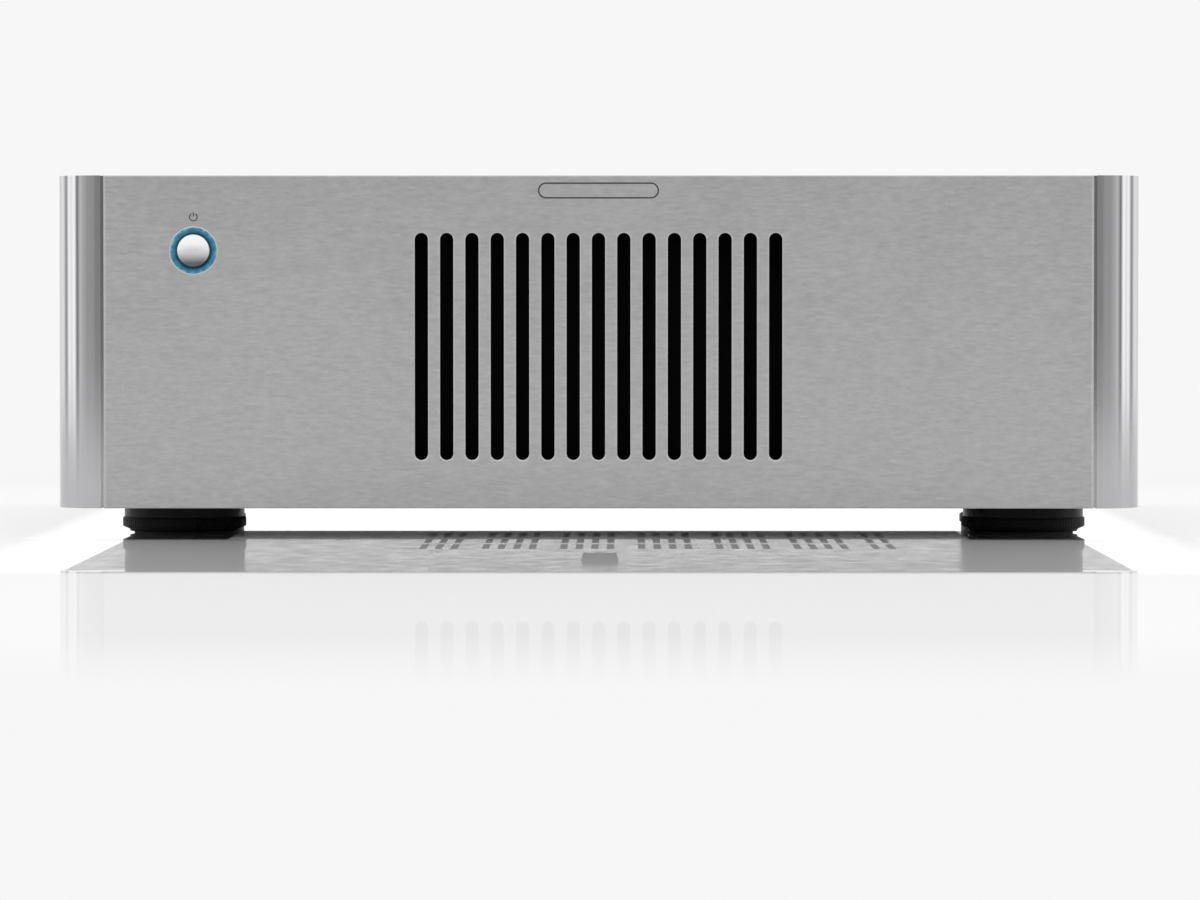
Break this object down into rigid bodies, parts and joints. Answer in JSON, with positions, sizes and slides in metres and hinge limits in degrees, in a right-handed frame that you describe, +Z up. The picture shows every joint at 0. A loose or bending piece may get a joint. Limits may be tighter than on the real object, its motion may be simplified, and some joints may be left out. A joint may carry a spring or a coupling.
{
  "type": "power amplifier",
  "caption": "Stereo power amplifier in a low wide metal case with rounded front corners, vertical cooling slots, a push button in a lit ring, round feet and rear speaker posts.",
  "frame": {"origin": "middle of the footprint, on the surface that the feet stand on", "axes": "+Z up, front panel towards -Y, +X to the right seen from the front"},
  "size_m": [0.434, 0.407, 0.1447],
  "materials": {
    "brushed_front": "fine horizontal brush, silver anodised",
    "satin_cap": "satin silver anodised",
    "zinc_steel": "zinc plated sheet and screws",
    "screen_black": "matt black",
    "case_paint": "fine textured silver paint",
    "foot_plastic": "semi-gloss black moulding",
    "pad_rubber": "matt",
    "button_metal": "bead blasted, pale",
    "stem_plastic": "moulded",
    "ring_blue": "translucent, lit blue",
    "board_green": "solder mask",
    "winding_tape": "yellow polyester tape",
    "core_steel": "wound strip",
    "can_sleeve": "printed-free dark sleeve",
    "chip_black": "moulded epoxy",
    "sink_black": "black anodised extrusion",
    "brass_standoff": "turned",
    "lead_sleeve": "insulated wire",
    "gold_plate": "gold plated",
    "socket_black": "fine moulded texture",
    "latch_steel": "nickel plated",
    "pin_nickel": "nickel plated",
    "fuse_glass": "clear tube",
    "post_red": "clear red over black",
    "post_black": "clear smoke over black"
  },
  "bodies": {
    "chassis": {"front_panel": "brushed_front", "end_cap_left": "satin_cap", "end_cap_right": "satin_cap", "panel_spacers": "zinc_steel", "front_subpanel": "zinc_steel", "vent_screen": "screen_black", "bottom_plate": "zinc_steel", "top_cover": "case_paint", "rear_panel": "case_paint", "foot_front_left": "foot_plastic", "foot_front_right": "foot_plastic", "foot_rear_left": "foot_plastic", "foot_rear_right": "foot_plastic", "foot_pads": "pad_rubber", "foot_screws": "zinc_steel", "light_ring": "ring_blue", "power_switch": "stem_plastic", "switch_board": "board_green", "toroid_winding": "winding_tape", "toroid_core": "core_steel", "toroid_pads": "pad_rubber", "toroid_clamp_plate": "zinc_steel", "toroid_bolt": "zinc_steel", "reservoir_capacitors": "can_sleeve", "supply_board": "board_green", "rectifiers": "chip_black", "heat_sink_left": "sink_black", "heat_sink_right": "sink_black", "amp_board_left": "board_green", "amp_board_right": "board_green", "output_transistors": "chip_black", "standby_board": "board_green", "input_board": "board_green", "board_standoffs": "brass_standoff", "internal_leads": "lead_sleeve", "rca_jacks": "gold_plate", "xlr_socket_left": "socket_black", "xlr_socket_right": "socket_black", "selector_switch": "socket_black", "trigger_jacks": "socket_black", "ac_inlet": "socket_black", "inlet_pins": "pin_nickel", "post_bases": "socket_black", "post_studs": "gold_plate", "case_screws": "zinc_steel"},
    "power_button": {"power_button": "button_metal", "button_stem": "stem_plastic"},
    "xlr_latch_left": {"xlr_latch_left": "latch_steel"},
    "xlr_latch_right": {"xlr_latch_right": "latch_steel"},
    "selector_knob": {"selector_knob": "socket_black"},
    "fuse_drawer": {"fuse_drawer": "socket_black", "fuse": "fuse_glass"},
    "washer_left_plus": {"post_washer_left_plus": "gold_plate"},
    "cap_left_plus": {"post_cap_left_plus": "post_red"},
    "washer_left_minus": {"post_washer_left_minus": "gold_plate"},
    "cap_left_minus": {"post_cap_left_minus": "post_black"},
    "washer_right_plus": {"post_washer_right_plus": "gold_plate"},
    "cap_right_plus": {"post_cap_right_plus": "post_red"},
    "washer_right_minus": {"post_washer_right_minus": "gold_plate"},
    "cap_right_minus": {"post_cap_right_minus": "post_black"}
  },
  "joints": [
    {"name": "power_press", "type": "slide", "parent": "chassis", "child": "power_button", "axis": [0, 1, 0], "range_m": [0, 0.0025], "stiffness_N_per_m": 800},
    {"name": "xlr_left_press", "type": "slide", "parent": "chassis", "child": "xlr_latch_left", "axis": [0, -1, 0], "range_m": [0, 0.0015], "stiffness_N_per_m": 1000},
    {"name": "xlr_right_press", "type": "slide", "parent": "chassis", "child": "xlr_latch_right", "axis": [0, -1, 0], "range_m": [0, 0.0015], "stiffness_N_per_m": 1000},
    {"name": "selector_slide", "type": "slide", "parent": "chassis", "child": "selector_knob", "axis": [1, 0, 0], "range_m": [0, 0.004]},
    {"name": "fuse_drawer_pull", "type": "slide", "parent": "chassis", "child": "fuse_drawer", "axis": [0, 1, 0], "range_m": [0, 0.018]},
    {"name": "post_left_plus_lift", "type": "slide", "parent": "chassis", "child": "washer_left_plus", "axis": [0, 1, 0], "range_m": [0, 0.006]},
    {"name": "post_left_plus_turn", "type": "hinge", "parent": "washer_left_plus", "child": "cap_left_plus", "pos_m": [0.05452, 0.189, 0.0787], "axis": [0, 1, 0], "range_deg": [0, 2160]},
    {"name": "post_left_minus_lift", "type": "slide", "parent": "chassis", "child": "washer_left_minus", "axis": [0, 1, 0], "range_m": [0, 0.006]},
    {"name": "post_left_minus_turn", "type": "hinge", "parent": "washer_left_minus", "child": "cap_left_minus", "pos_m": [0.03547, 0.189, 0.0787], "axis": [0, 1, 0], "range_deg": [0, 2160]},
    {"name": "post_right_plus_lift", "type": "slide", "parent": "chassis", "child": "washer_right_plus", "axis": [0, 1, 0], "range_m": [0, 0.006]},
    {"name": "post_right_plus_turn", "type": "hinge", "parent": "washer_right_plus", "child": "cap_right_plus", "pos_m": [-0.03547, 0.189, 0.0787], "axis": [0, 1, 0], "range_deg": [0, 2160]},
    {"name": "post_right_minus_lift", "type": "slide", "parent": "chassis", "child": "washer_right_minus", "axis": [0, 1, 0], "range_m": [0, 0.006]},
    {"name": "post_right_minus_turn", "type": "hinge", "parent": "washer_right_minus", "child": "cap_right_minus", "pos_m": [-0.05452, 0.189, 0.0787], "axis": [0, 1, 0], "range_deg": [0, 2160]}
  ],
  "couplings": [
    {"joint": "post_left_plus_lift", "follows": "post_left_plus_turn", "m_per_rad": 0.00015915},
    {"joint": "post_left_minus_lift", "follows": "post_left_minus_turn", "m_per_rad": 0.00015915},
    {"joint": "post_right_plus_lift", "follows": "post_right_plus_turn", "m_per_rad": 0.00015915},
    {"joint": "post_right_minus_lift", "follows": "post_right_minus_turn", "m_per_rad": 0.00015915}
  ]
}
